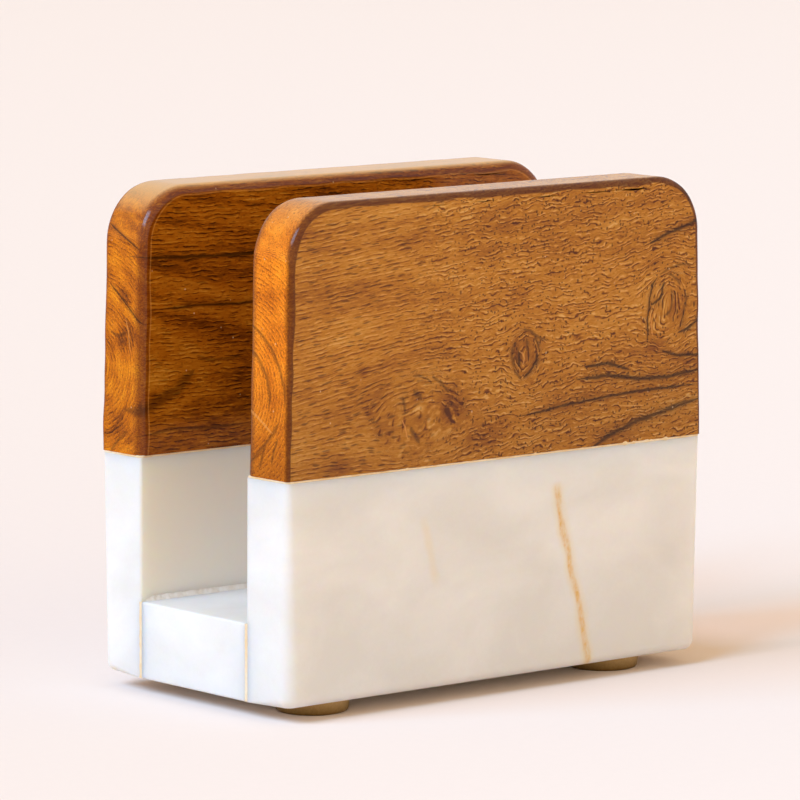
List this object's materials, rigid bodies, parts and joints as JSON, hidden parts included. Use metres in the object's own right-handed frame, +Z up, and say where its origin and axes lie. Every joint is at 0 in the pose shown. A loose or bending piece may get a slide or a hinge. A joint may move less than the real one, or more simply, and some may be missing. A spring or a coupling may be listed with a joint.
{
  "type": "napkin holder",
  "caption": "Upright napkin holder: two marble slabs topped by round-cornered wood panels, tied by a marble floor block, open at both ends, on low round pads.",
  "frame": {"origin": "on the table, under the middle of the body", "axes": "+X along the slabs, +Y across the slot to the back wall, +Z up"},
  "size_m": [0.14, 0.0746, 0.1295],
  "materials": {
    "marble": "satin",
    "panel_wood": "gloss",
    "adhesive": "satin",
    "foot_pad": "satin",
    "dowel_wood": "matte"
  },
  "bodies": {
    "root": {"front_marble_slab": "marble", "back_marble_slab": "marble", "floor_block": "marble", "front_wood_panel": "panel_wood", "back_wood_panel": "panel_wood", "panel_joint_front": "adhesive", "panel_joint_back": "adhesive", "floor_joint_front": "adhesive", "floor_joint_back": "adhesive", "floor_bead_front": "adhesive", "floor_bead_back": "adhesive", "foot_front_left": "foot_pad", "foot_front_right": "foot_pad", "foot_back_left": "foot_pad", "foot_back_right": "foot_pad", "foot_glue_front_left": "adhesive", "foot_glue_front_right": "adhesive", "foot_glue_back_left": "adhesive", "foot_glue_back_right": "adhesive", "dowel_front_left": "dowel_wood", "dowel_front_right": "dowel_wood", "dowel_back_left": "dowel_wood", "dowel_back_right": "dowel_wood"}
  },
  "joints": []
}
